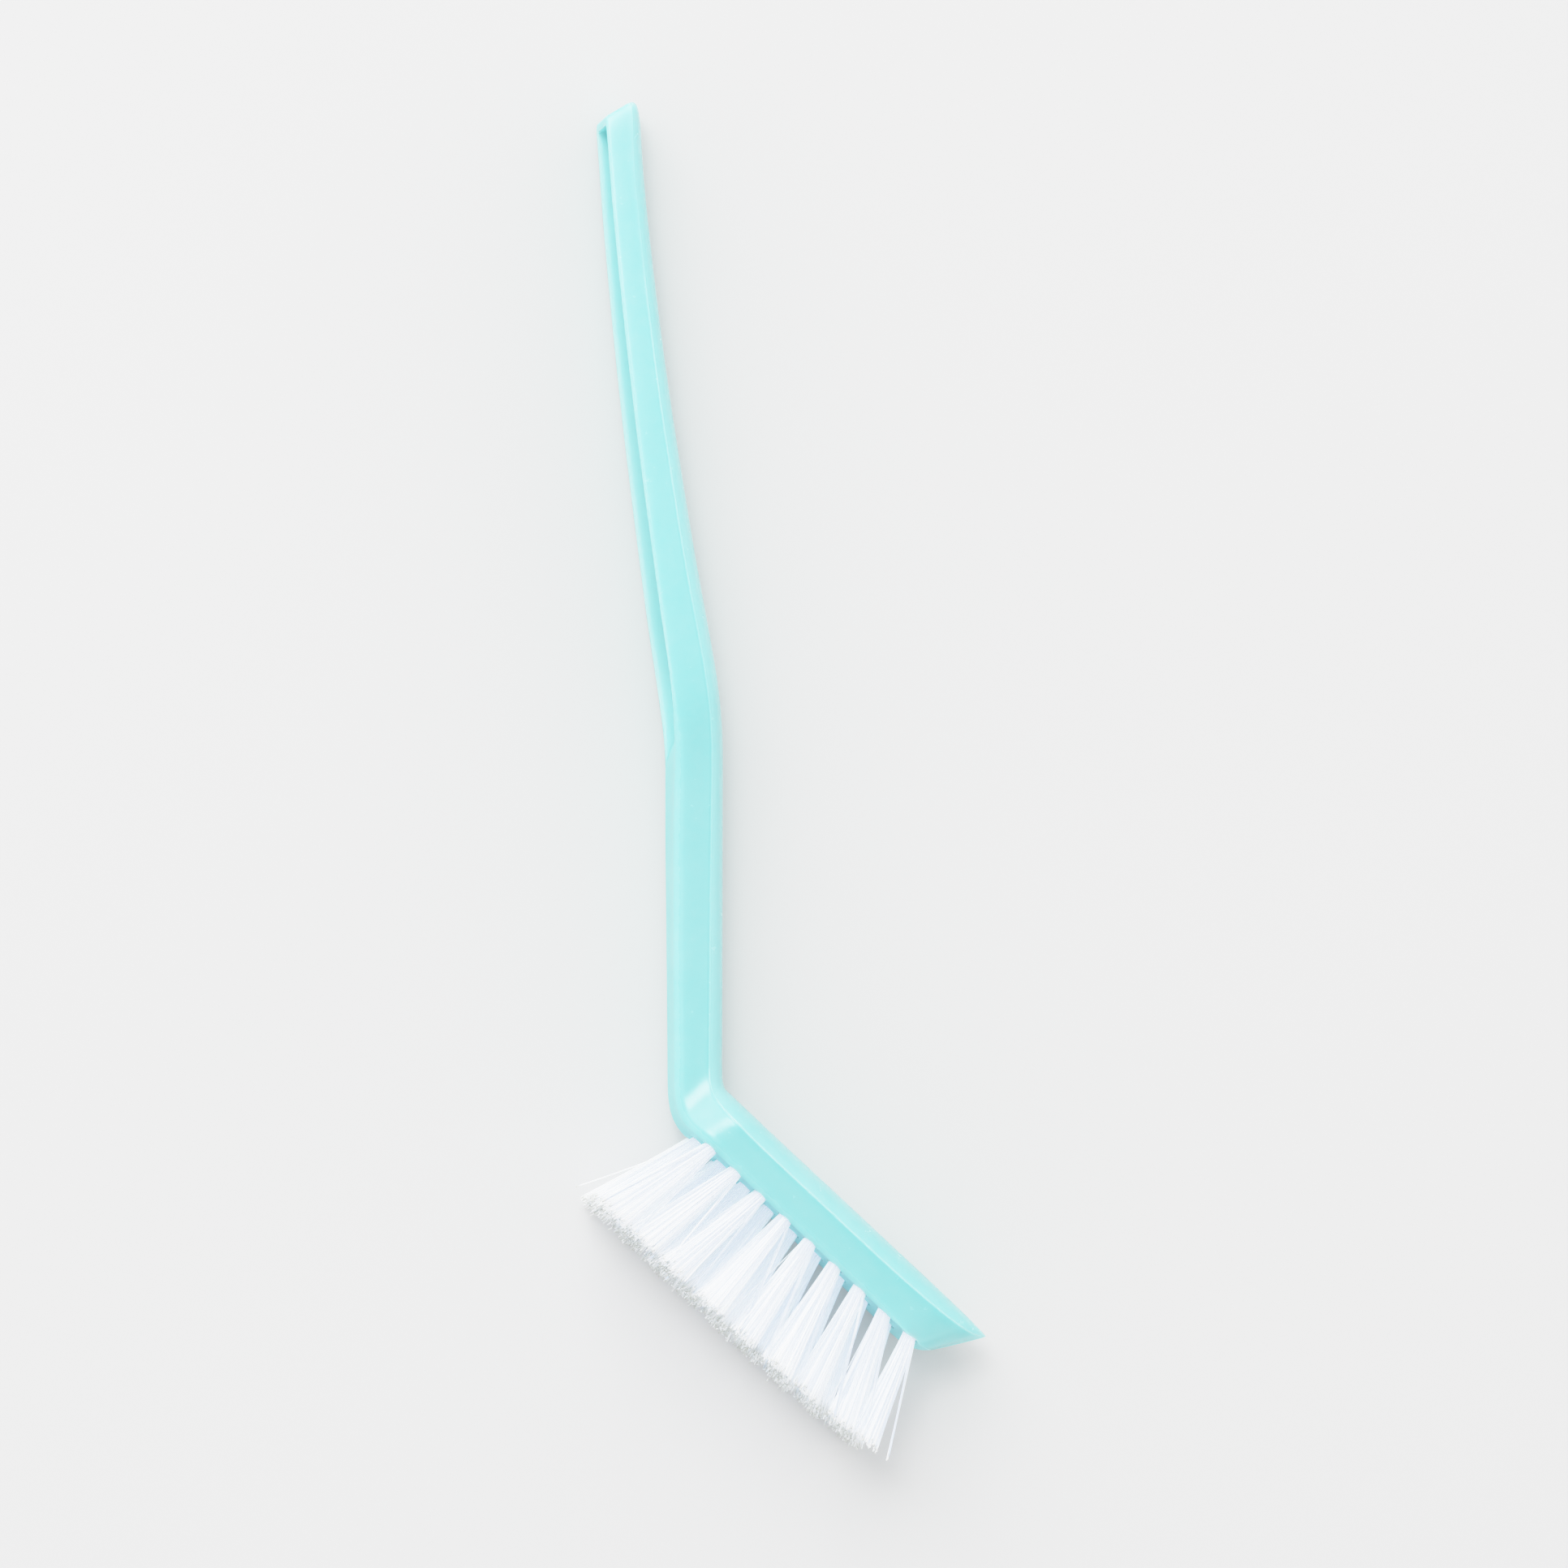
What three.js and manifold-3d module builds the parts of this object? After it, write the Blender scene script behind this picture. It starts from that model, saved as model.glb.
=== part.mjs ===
// A dish brush lying on its side: one moulded handle and head, 27 bristle tufts, 27 anchor staples.
// Millimetres, +Z up. The design plane is the brush's plane of symmetry, with the width of the brush along its Z.
import * as THREE from "three";
import { mergeVertices } from "three/addons/utils/BufferGeometryUtils.js";
import Module from "manifold-3d";

const wasm = await Module();
wasm.setup();

// ---- resting pose -------------------------------------------------------------------------------------------
const ROLL = THREE.MathUtils.degToRad(2.738); // the bristle side is tipped up
const PITCH = THREE.MathUtils.degToRad(-1.549); // the head is a little higher than the handle end
const PLACE = [-0.048, -0.265, 10.751]; // puts the bottom centre of the lying brush at the origin

// ---- handle and head ----------------------------------------------------------------------------------------
// One row for each cross-section, from the handle end to the tip of the head:
// underside point x, y, ridge point x, y, half width at the underside, half width at the parting crease, crown height.
const HEAD_START = [-17.27, -75.97]; // on the bristle face, at the first outer tuft
const HEAD_ANGLE = THREE.MathUtils.degToRad(-43.3); // direction of the tuft rows
const HEAD_THICK = 11.9;
const along = [Math.cos(HEAD_ANGLE), Math.sin(HEAD_ANGLE)];
const outward = [Math.sin(HEAD_ANGLE), -Math.cos(HEAD_ANGLE)];
const onHead = (u, n) => [HEAD_START[0] + u * along[0] + n * outward[0], HEAD_START[1] + u * along[1] + n * outward[1]];
const headRow = (ub, nb, ur, wb, wc, c) => [...onHead(ub, nb), ...onHead(ur, -HEAD_THICK), wb, wc, c];

const SECTIONS = [
  [-37.8, 138.7, -31.6, 141.9, 6.4, 6.7, 1.6],
  [-37.85, 137.6, -30.55, 140.4, 7.5, 7.8, 2.3],
  [-37.7, 134.9, -29.95, 137.8, 7.9, 8.2, 2.8],
  [-37.5, 131.0, -29.7, 132.6, 8.0, 8.3, 3.0],
  [-36.85, 121.1, -28.9, 122.1, 8.2, 8.5, 3.0],
  [-35.7, 107.9, -27.5, 108.9, 8.5, 8.8, 3.1],
  [-34.2, 92.4, -25.7, 93.5, 9.0, 9.3, 3.2],
  [-32.6, 77.4, -23.65, 78.4, 9.5, 9.8, 3.4],
  [-30.8, 62.3, -21.35, 63.5, 9.8, 10.1, 3.5],
  [-28.8, 46.7, -18.9, 48.2, 10.2, 10.5, 3.7],
  [-27.05, 33.4, -16.55, 35.0, 10.5, 10.8, 3.7],
  [-25.6, 23.8, -14.8, 25.5, 10.4, 10.7, 3.7],
  [-24.7, 16.6, -13.7, 17.9, 9.9, 10.2, 3.6],
  [-24.1, 10.6, -13.15, 11.3, 9.3, 9.6, 3.5],
  [-23.8, 5.1, -13.0, 5.3, 8.7, 9.0, 3.4],
  [-23.72, -2.0, -13.03, -2.0, 8.1, 8.4, 3.3],
  [-23.74, -12.0, -13.07, -12.0, 7.5, 7.8, 3.2],
  [-23.74, -25.0, -13.12, -25.0, 6.9, 7.2, 3.2],
  [-23.74, -40.0, -13.2, -40.0, 6.5, 6.8, 3.2],
  [-23.74, -53.1, -13.3, -53.1, 6.4, 6.7, 3.2],
  [-23.74, -60.1, -13.35, -60.1, 6.4, 6.7, 3.3],
  [-23.72, -63.7, -13.3, -62.1, 6.5, 6.8, 3.4],
  [-23.43, -67.1, -12.95, -63.5, 7.1, 7.4, 3.6],
  [-22.55, -69.9, -12.35, -64.3, 7.9, 8.3, 3.9],
  [-21.05, -72.2, -11.45, -65.1, 8.6, 9.1, 4.2],
  headRow(-2.9, 0, -1.9, 9.4, 9.95, 4.5),
  headRow(1.5, 0, 3.4, 9.9, 10.6, 4.8),
  headRow(6, 0, 7.4, 10.1, 10.95, 4.9),
  headRow(14, 0, 14.9, 10.1, 11.0, 4.9),
  headRow(26, 0, 26.4, 10.1, 11.0, 4.9),
  headRow(38, 0, 38.9, 10.1, 11.0, 4.9),
  headRow(46.7, 0, 49.1, 10.1, 11.0, 4.9),
  headRow(52.6, 0, 56.4, 9.95, 10.85, 4.7),
  headRow(56.6, 0, 61.1, 9.4, 10.3, 4.4),
  headRow(59.5, -0.1, 64.8, 8.2, 9.1, 3.9),
  headRow(61.6, -0.6, 67.4, 6.2, 7.1, 3.2),
  headRow(63.0, -1.3, 69.2, 3.8, 4.6, 2.2),
  headRow(63.7, -2.1, 70.1, 1.3, 1.6, 0.8),
];
const CROWN_START = THREE.MathUtils.degToRad(13); // sets the crease between the flat side and the crowned back
const UNDER_RADIUS = 0.9; // rounding of the underside edges
const STEPS_PER_ROW = 2;

// ---- channel in the upper handle ----------------------------------------------------------------------------
const CHANNEL_WALL = 1.6;
const CHANNEL_ROOF = 3.0; // plastic left between the channel and the ridge
const CHANNEL_FIRST = 1.35; // section rows where it starts, starts to rise and runs out
const CHANNEL_RISE = 11.2;
const CHANNEL_LAST = 14.6;

// ---- tufts and anchors --------------------------------------------------------------------------------------
const TUFT_PITCH = 7.16;
const TUFTS_PER_ROW = 9;
const ROWS = [
  { name: "near", across: 6.95, tilt: 7, start: 0.6, pitch: 0.9965 * TUFT_PITCH },
  { name: "mid", across: 0, tilt: 0, start: -0.21 * TUFT_PITCH, pitch: 0.945 * TUFT_PITCH },
  { name: "far", across: -6.95, tilt: -7, start: -0.23 * TUFT_PITCH, pitch: 0.9615 * TUFT_PITCH },
];
const FAN_FIRST = -10; // lean of a tuft along the head, degrees towards the tip, at the first and the last outer tuft
const FAN_LAST = 25.5;
const TRIM_HEIGHT = 23.7; // bristle tips above the bristle face
const TRIM_DROP = 1.8; // the trim falls away towards the tip of the head
const HOLE_RADIUS = 1.85;
const HOLE_DEPTH = 7.2;
const SHANK_RADIUS = 1.55;
const TIP_RADIUS = 4.2;
const ANCHOR = { length: 4.4, thick: 0.4, height: 1.7, depth: 5.2 };
const GAP = 0.2;

// ---- helpers ------------------------------------------------------------------------------------------------
function toSolid(geometry) {
  const g = geometry.clone();
  for (const name of Object.keys(g.attributes)) if (name !== "position") g.deleteAttribute(name);
  const merged = mergeVertices(g, 1e-5);
  return new wasm.Manifold(
    new wasm.Mesh({
      numProp: 3,
      vertProperties: new Float32Array(merged.attributes.position.array),
      triVerts: new Uint32Array(merged.index.array),
    }),
  );
}

function toGeometry(solid) {
  const mesh = solid.getMesh();
  const points = [];
  for (let i = 0; i < mesh.numVert; i++) {
    for (let k = 0; k < 3; k++) points.push(mesh.vertProperties[i * mesh.numProp + k]);
  }
  const g = new THREE.BufferGeometry();
  g.setAttribute("position", new THREE.Float32BufferAttribute(points, 3));
  g.setIndex(Array.from(mesh.triVerts));
  g.computeVertexNormals();
  return g;
}

// A closed skin over rings of equal length, facing outwards.
function skin(rings) {
  const m = rings[0].length;
  const points = [];
  for (const ring of rings) for (const p of ring) points.push(p.x, p.y, p.z);
  const index = [];
  for (let i = 0; i + 1 < rings.length; i++) {
    for (let j = 0; j < m; j++) {
      const a = i * m + j;
      const b = i * m + ((j + 1) % m);
      index.push(a, b, b + m, a, b + m, a + m);
    }
  }
  for (const [ring, flip] of [[0, true], [rings.length - 1, false]]) {
    const centre = new THREE.Vector3();
    for (const p of rings[ring]) centre.addScaledVector(p, 1 / m);
    const c = points.length / 3;
    points.push(centre.x, centre.y, centre.z);
    for (let j = 0; j < m; j++) {
      const a = ring * m + j;
      const b = ring * m + ((j + 1) % m);
      if (flip) index.push(c, b, a);
      else index.push(c, a, b);
    }
  }
  const corner = (i) => new THREE.Vector3().fromArray(points, 3 * i);
  let volume = 0;
  for (let i = 0; i < index.length; i += 3) {
    volume += corner(index[i]).dot(corner(index[i + 1]).cross(corner(index[i + 2])));
  }
  const g = new THREE.BufferGeometry();
  g.setAttribute("position", new THREE.Float32BufferAttribute(points, 3));
  g.setIndex(volume > 0 ? index : index.reverse());
  return g;
}

// ---- handle and head ----------------------------------------------------------------------------------------
const under = new THREE.CatmullRomCurve3(SECTIONS.map((r) => new THREE.Vector3(r[0], r[1], 0)), false, "centripetal");
const ridge = new THREE.CatmullRomCurve3(SECTIONS.map((r) => new THREE.Vector3(r[2], r[3], 0)), false, "centripetal");
const sizes = new THREE.CatmullRomCurve3(SECTIONS.map((r) => new THREE.Vector3(r[4], r[5], r[6])), false, "catmullrom", 0.5);
const LAST = SECTIONS.length - 1;

function sectionAt(row) {
  const t = Math.min(Math.max(row / LAST, 0), 1);
  const base = under.getPoint(t);
  const top = ridge.getPoint(t);
  const s = sizes.getPoint(t);
  const up = top.clone().sub(base);
  const depth = up.length();
  up.normalize();
  return {
    depth, wb: s.x, wc: s.y, crown: s.z,
    at: (height, across) => base.clone().addScaledVector(up, height).setZ(across),
  };
}

function bodyRing(row) {
  const s = sectionAt(row);
  const r = Math.min(UNDER_RADIUS, 0.35 * s.wb);
  const h = s.depth - s.crown;
  const half = [
    [0, s.wb - r],
    [0.29 * r, s.wb - 0.29 * r],
    [r, s.wb],
    [h, s.wc],
  ];
  for (const turn of [0.25, 0.5, 0.75]) {
    const phi = CROWN_START + turn * (Math.PI / 2 - CROWN_START);
    half.push([
      h + (s.crown * (Math.sin(phi) - Math.sin(CROWN_START))) / (1 - Math.sin(CROWN_START)),
      (s.wc * Math.cos(phi)) / Math.cos(CROWN_START),
    ]);
  }
  const ring = half.map(([t, w]) => s.at(t, w));
  ring.push(s.at(s.depth, 0));
  for (const [t, w] of [...half].reverse()) ring.push(s.at(t, -w));
  return ring;
}

function channelRing(row) {
  const s = sectionAt(row);
  const w = s.wb - CHANNEL_WALL;
  const rise = THREE.MathUtils.smoothstep(row, CHANNEL_RISE, CHANNEL_LAST);
  const floor = THREE.MathUtils.lerp(s.depth - CHANNEL_ROOF, -0.4, rise);
  const c = Math.min(1.2, 0.4 * (floor + 2));
  return [
    s.at(-2, w + 0.1), s.at(floor - c, w - 0.2), s.at(floor, w - 0.2 - c),
    s.at(floor, -(w - 0.2 - c)), s.at(floor - c, -(w - 0.2)), s.at(-2, -(w + 0.1)),
  ];
}

const rings = [];
for (let i = 0; i <= LAST * STEPS_PER_ROW; i++) rings.push(bodyRing(i / STEPS_PER_ROW));
let body = toSolid(skin(rings));

const channel = [];
for (let i = 0; i <= 28; i++) channel.push(channelRing(CHANNEL_FIRST + ((CHANNEL_LAST - CHANNEL_FIRST) * i) / 28));
body = body.subtract(toSolid(skin(channel)));

// ---- tufts and anchors --------------------------------------------------------------------------------------
const uDir = new THREE.Vector3(along[0], along[1], 0);
const nDir = new THREE.Vector3(outward[0], outward[1], 0);
const wDir = new THREE.Vector3(0, 0, 1);

function tuftFrame(row, k) {
  const u = row.start + k * row.pitch;
  const lean = THREE.MathUtils.degToRad(
    THREE.MathUtils.mapLinear(u, 0, (TUFTS_PER_ROW - 1) * TUFT_PITCH, FAN_FIRST, FAN_LAST),
  );
  const tilt = THREE.MathUtils.degToRad(row.tilt);
  const axis = nDir.clone().addScaledVector(uDir, Math.tan(lean)).addScaledVector(wDir, Math.tan(tilt)).normalize();
  const side = uDir.clone().addScaledVector(axis, -uDir.dot(axis)).normalize();
  const other = new THREE.Vector3().crossVectors(axis, side);
  const root = onHead(u, 0);
  const m = new THREE.Matrix4().makeBasis(side, other, axis);
  m.setPosition(root[0], root[1], row.across);
  const trim = TRIM_HEIGHT - TRIM_DROP * Math.pow(Math.max(0, (u - 24) / 33), 2);
  return { m, root: new THREE.Vector3(root[0], root[1], row.across), axis, side, other, lean, trim };
}

// A tuft: a straight shank in its hole, then a fan that ends in one flat trim plane.
function tuftSolid(f) {
  const SIDES = 12;
  const full = f.trim / f.axis.dot(nDir);
  const tip = TIP_RADIUS * Math.cos(f.lean);
  const radius = (z) => SHANK_RADIUS + (tip - SHANK_RADIUS) * Math.pow(Math.max(0, z - 0.4) / (full - 0.4), 1.12);
  const at = (z, a, r) =>
    f.root.clone().addScaledVector(f.axis, z).addScaledVector(f.side, r * Math.cos(a)).addScaledVector(f.other, r * Math.sin(a));
  const list = [];
  for (const z of [-(HOLE_DEPTH - GAP), 0.4, 5, 12]) {
    list.push(Array.from({ length: SIDES }, (_, j) => at(z, (2 * Math.PI * j) / SIDES, radius(z))));
  }
  const end = [];
  for (let j = 0; j < SIDES; j++) {
    const a = (2 * Math.PI * j) / SIDES;
    const p = at(12, a, radius(12));
    const d = at(full, a, radius(full)).sub(p);
    const h = p.clone().sub(f.root).dot(nDir);
    end.push(p.addScaledVector(d, (f.trim - h) / d.dot(nDir)));
  }
  list.push(end);
  const window = new THREE.BoxGeometry(8, ANCHOR.thick + 2 * GAP, ANCHOR.height + 2 * GAP);
  window.translate(0, 0, -ANCHOR.depth).applyMatrix4(f.m);
  return toSolid(skin(list)).subtract(toSolid(window));
}

const plastic = () => new THREE.MeshStandardMaterial({ color: 0xaeecec, roughness: 0.35, metalness: 0 });
const nylon = () => new THREE.MeshStandardMaterial({ color: 0xf4f6fa, roughness: 0.55, metalness: 0 });
const steel = () => new THREE.MeshStandardMaterial({ color: 0xb9b6ae, roughness: 0.4, metalness: 1 });

const brush = new THREE.Group();
brush.rotation.set(PITCH, ROLL, 0, "XYZ");
brush.position.set(...PLACE);

function add(name, geometry, material) {
  const mesh = new THREE.Mesh(geometry, material);
  mesh.name = name;
  brush.add(mesh);
}

const tufts = [];
const anchors = [];
for (const row of ROWS) {
  for (let k = 0; k < TUFTS_PER_ROW; k++) {
    const f = tuftFrame(row, k);
    const hole = new THREE.CylinderGeometry(HOLE_RADIUS, HOLE_RADIUS, HOLE_DEPTH + 3, 12);
    hole.rotateX(Math.PI / 2).translate(0, 0, (3 - HOLE_DEPTH) / 2).applyMatrix4(f.m);
    const slot = new THREE.BoxGeometry(ANCHOR.length + 2 * GAP, ANCHOR.thick + 2 * GAP, ANCHOR.height + 2 * GAP);
    slot.translate(0, 0, -ANCHOR.depth).applyMatrix4(f.m);
    body = body.subtract(toSolid(hole)).subtract(toSolid(slot));
    tufts.push([`tuft_${row.name}_${k + 1}`, tuftSolid(f)]);
    const strip = new THREE.BoxGeometry(ANCHOR.length, ANCHOR.thick, ANCHOR.height);
    strip.translate(0, 0, -ANCHOR.depth).applyMatrix4(f.m);
    anchors.push([`anchor_${row.name}_${k + 1}`, strip]);
  }
}

add("handle_head", toGeometry(body), plastic());
for (const [name, solid] of tufts) add(name, toGeometry(solid), nylon());
for (const [name, geometry] of anchors) add(name, geometry, steel());

export default brush;
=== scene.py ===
import math

import bpy
import bmesh
import numpy as np
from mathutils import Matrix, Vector
from mathutils.kdtree import KDTree


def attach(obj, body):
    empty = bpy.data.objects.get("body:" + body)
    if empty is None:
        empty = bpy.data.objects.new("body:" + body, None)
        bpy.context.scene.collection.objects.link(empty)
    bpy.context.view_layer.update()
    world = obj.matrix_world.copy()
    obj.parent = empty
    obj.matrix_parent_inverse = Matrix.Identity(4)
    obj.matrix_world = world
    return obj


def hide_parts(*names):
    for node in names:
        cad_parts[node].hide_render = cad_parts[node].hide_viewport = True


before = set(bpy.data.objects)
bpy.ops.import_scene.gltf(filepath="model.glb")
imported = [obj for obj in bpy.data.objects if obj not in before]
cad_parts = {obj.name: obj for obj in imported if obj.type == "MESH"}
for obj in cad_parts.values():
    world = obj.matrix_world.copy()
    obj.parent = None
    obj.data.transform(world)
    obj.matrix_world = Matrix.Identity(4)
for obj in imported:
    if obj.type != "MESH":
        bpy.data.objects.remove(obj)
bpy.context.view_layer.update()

MM = 0.001

# ---- the brush's own dimensions, in millimetres, in its plane of symmetry ---------------------------------------
ROLL, PITCH = math.radians(2.738), math.radians(-1.549)
PLACE = np.array([-0.048, -0.265, 10.751])
HEAD_START = np.array([-17.27, -75.97])
HEAD_ANGLE = math.radians(-43.3)
HEAD_THICK = 11.9
ALONG = np.array([math.cos(HEAD_ANGLE), math.sin(HEAD_ANGLE)])
OUTWARD = np.array([math.sin(HEAD_ANGLE), -math.cos(HEAD_ANGLE)])


def on_head(u, n):
    return HEAD_START + u * ALONG + n * OUTWARD


def head_row(ub, nb, ur, wb, wc, c, thick=HEAD_THICK):
    return [*on_head(ub, nb), *on_head(ur, -thick), wb, wc, c]


# underside x, y, ridge x, y, half width at the underside, half width at the parting crease, crown height
SECTIONS = [
    [-38.0, 138.85, -31.2, 142.95, 7.4, 7.7, 2.0],
    [-38.0, 137.5, -30.45, 141.2, 7.7, 8.0, 2.5],
    [-37.85, 134.9, -29.95, 137.8, 7.9, 8.2, 2.8],
    [-37.5, 131.0, -29.7, 132.6, 8.0, 8.3, 3.0],
    [-36.85, 121.1, -28.9, 122.1, 8.2, 8.5, 3.0],
    [-35.7, 107.9, -27.5, 108.9, 8.5, 8.8, 3.1],
    [-34.2, 92.4, -25.7, 93.5, 9.0, 9.3, 3.2],
    [-32.6, 77.4, -23.65, 78.4, 9.5, 9.8, 3.4],
    [-30.8, 62.3, -21.35, 63.5, 9.8, 10.1, 3.5],
    [-28.8, 46.7, -18.9, 48.2, 10.2, 10.5, 3.7],
    [-27.05, 33.4, -16.55, 35.0, 10.5, 10.8, 3.7],
    [-25.6, 23.8, -14.8, 25.5, 10.4, 10.7, 3.7],
    [-24.7, 16.6, -13.7, 17.9, 9.9, 10.2, 3.6],
    [-24.1, 10.6, -13.15, 11.3, 9.3, 9.6, 3.5],
    [-23.92, 5.1, -13.0, 5.3, 8.7, 9.0, 3.4],
    [-24.05, -2.0, -13.03, -2.0, 8.1, 8.4, 3.4],
    [-24.15, -12.0, -13.07, -12.0, 7.5, 7.8, 3.45],
    [-24.14, -25.0, -13.12, -25.0, 6.9, 7.2, 3.55],
    [-24.12, -40.0, -13.2, -40.0, 6.5, 6.8, 3.55],
    [-24.06, -53.1, -13.3, -53.1, 6.4, 6.7, 3.55],
    [-24.03, -60.1, -13.35, -60.1, 6.4, 6.7, 3.6],
    [-24.02, -63.8, -13.3, -62.1, 6.5, 6.8, 3.65],
    [-23.72, -67.25, -12.95, -63.5, 7.1, 7.4, 3.75],
    [-22.78, -70.1, -12.35, -64.3, 7.9, 8.3, 3.9],
    [-21.18, -72.35, -11.45, -65.1, 8.6, 9.1, 4.2],
    head_row(-2.9, 0, -1.9, 9.4, 9.95, 4.5),
    head_row(1.5, 0, 3.4, 9.9, 10.6, 4.8),
    head_row(6, 0, 7.4, 10.1, 10.95, 4.9),
    head_row(14, 0, 14.9, 10.1, 11.0, 4.9, 11.95),
    head_row(26, 0, 26.4, 10.1, 11.0, 4.9, 12.1),
    head_row(38, 0, 38.9, 10.1, 11.0, 4.9, 12.17),
    head_row(46.7, 0, 49.1, 10.1, 11.0, 4.9, 12.27),
    head_row(52.6, 0, 56.4, 9.95, 10.85, 4.7, 12.32),
    head_row(56.6, 0, 61.1, 9.4, 10.3, 4.4, 12.32),
    head_row(59.5, -0.1, 64.8, 8.2, 9.1, 3.9, 12.3),
    head_row(61.6, -0.6, 67.4, 6.2, 7.1, 3.2, 12.25),
    head_row(63.0, -1.3, 69.2, 3.8, 4.6, 2.2, 12.2),
    head_row(63.8, -2.1, 70.4, 0.45, 0.55, 0.35, 12.15),
]
LAST = len(SECTIONS) - 1
CROWN_START = math.radians(13)
RIM_RADIUS, NECK_RADIUS, HEAD_RADIUS, TIP_RADIUS = 0.62, 2.0, 2.0, 0.45  # rounding between side and underside, by stretch
CHANNEL_WALL, CHANNEL_ROOF = 1.6, 3.0
CHANNEL_FIRST, CHANNEL_RISE, CHANNEL_LAST = 1.08, 11.2, 14.3

TUFT_PITCH = 7.16
TUFTS = 9
ROWS = [
    ("near", 6.95, 7.0, 0.6, 0.9965 * TUFT_PITCH),
    ("mid", 0.0, 0.0, -0.21 * TUFT_PITCH, 0.945 * TUFT_PITCH),
    ("far", -6.95, -7.0, -0.23 * TUFT_PITCH, 0.9615 * TUFT_PITCH),
]
FAN_FIRST, FAN_LAST = -10.0, 25.5
TRIM_HEIGHT, TRIM_DROP = 23.7, 1.8
HOLE_RADIUS, HOLE_DEPTH = 1.72, 7.2


def turned(points):
    """Points of the brush's own frame, placed as the brush lies."""
    ca, sa, cb, sb = math.cos(ROLL), math.sin(ROLL), math.cos(PITCH), math.sin(PITCH)
    ry = np.array([[ca, 0, sa], [0, 1, 0], [-sa, 0, ca]])
    rx = np.array([[1, 0, 0], [0, cb, -sb], [0, sb, cb]])
    return np.asarray(points, float) @ (rx @ ry).T + PLACE


def smoothstep(x, a, b):
    t = np.clip((np.asarray(x, float) - a) / (b - a), 0.0, 1.0)
    return t * t * (3 - 2 * t)


def catmull(points, rows, centripetal):
    p = np.array(points, float)
    n = len(p)
    out = np.empty((len(rows), p.shape[1]))
    for i, row in enumerate(rows):
        k = min(max(int(math.floor(row)), 0), n - 2)
        w = row - k
        p1, p2 = p[k], p[k + 1]
        p0 = p[k - 1] if k > 0 else 2 * p[0] - p[1]
        p3 = p[k + 2] if k + 2 < n else 2 * p[-1] - p[-2]
        if centripetal:
            d0, d1, d2 = (float(np.dot(b - a, b - a)) ** 0.25 for a, b in ((p0, p1), (p1, p2), (p2, p3)))
            d1 = d1 if d1 > 1e-4 else 1.0
            d0 = d0 if d0 > 1e-4 else d1
            d2 = d2 if d2 > 1e-4 else d1
            t1 = ((p1 - p0) / d0 - (p2 - p0) / (d0 + d1) + (p2 - p1) / d1) * d1
            t2 = ((p2 - p1) / d1 - (p3 - p1) / (d1 + d2) + (p3 - p2) / d2) * d1
        else:
            t1, t2 = 0.5 * (p2 - p0), 0.5 * (p3 - p1)
        c2 = -3 * p1 + 3 * p2 - 2 * t1 - t2
        c3 = 2 * p1 - 2 * p2 + t1 + t2
        out[i] = p1 + t1 * w + c2 * w * w + c3 * w**3
    return out


# The section sizes along the brush, sampled finely and smoothed over about half a row, so that reflections run evenly.
FINE = 16
fine_rows = np.arange(LAST * FINE + 1) / FINE
table = np.array(SECTIONS)
fine = np.hstack([
    catmull(table[:, 0:2], fine_rows, True),
    catmull(table[:, 2:4], fine_rows, True),
    catmull(table[:, 4:7], fine_rows, False),
])


def smoothed(a, sigma):
    m = int(3 * sigma)
    k = np.exp(-0.5 * (np.arange(-m, m + 1) / sigma) ** 2)
    k /= k.sum()
    head = 2 * a[0] - a[m:0:-1]
    tail = 2 * a[-1] - a[-2:-m - 2:-1]
    padded = np.vstack([head, a, tail])
    return np.stack([np.convolve(padded[:, j], k, "valid") for j in range(a.shape[1])], 1)


fine = smoothed(fine, 0.42 * FINE)


def section(row):
    v = [float(np.interp(row, fine_rows, fine[:, j])) for j in range(7)]
    base, top = np.array(v[0:2]), np.array(v[2:4])
    up = top - base
    depth = float(np.hypot(*up))
    return base, up / depth, depth, v[4], v[5], v[6]


# ---- mesh helpers -----------------------------------------------------------------------------------------------
def mesh_object(name, verts_mm, faces, smooth=True):
    me = bpy.data.meshes.new(name)
    me.from_pydata([tuple(v) for v in np.asarray(verts_mm) * MM], [], faces)
    me.validate()
    me.update()
    if smooth:
        me.polygons.foreach_set("use_smooth", [True] * len(me.polygons))
    o = bpy.data.objects.new(name, me)
    bpy.context.scene.collection.objects.link(o)
    return o


def face_out(o):
    bm = bmesh.new()
    bm.from_mesh(o.data)
    bmesh.ops.recalc_face_normals(bm, faces=bm.faces)
    bm.to_mesh(o.data)
    bm.free()


# ---- handle and head --------------------------------------------------------------------------------------------
def under_radius(row, wb):
    r = RIM_RADIUS + (NECK_RADIUS - RIM_RADIUS) * float(smoothstep(row, 11.0, 14.5))
    r += (HEAD_RADIUS - NECK_RADIUS) * float(smoothstep(row, 22.0, 26.0))
    r += (TIP_RADIUS - HEAD_RADIUS) * float(smoothstep(row, 30.5, 33.0))
    return min(r, 0.35 * wb)


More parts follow.
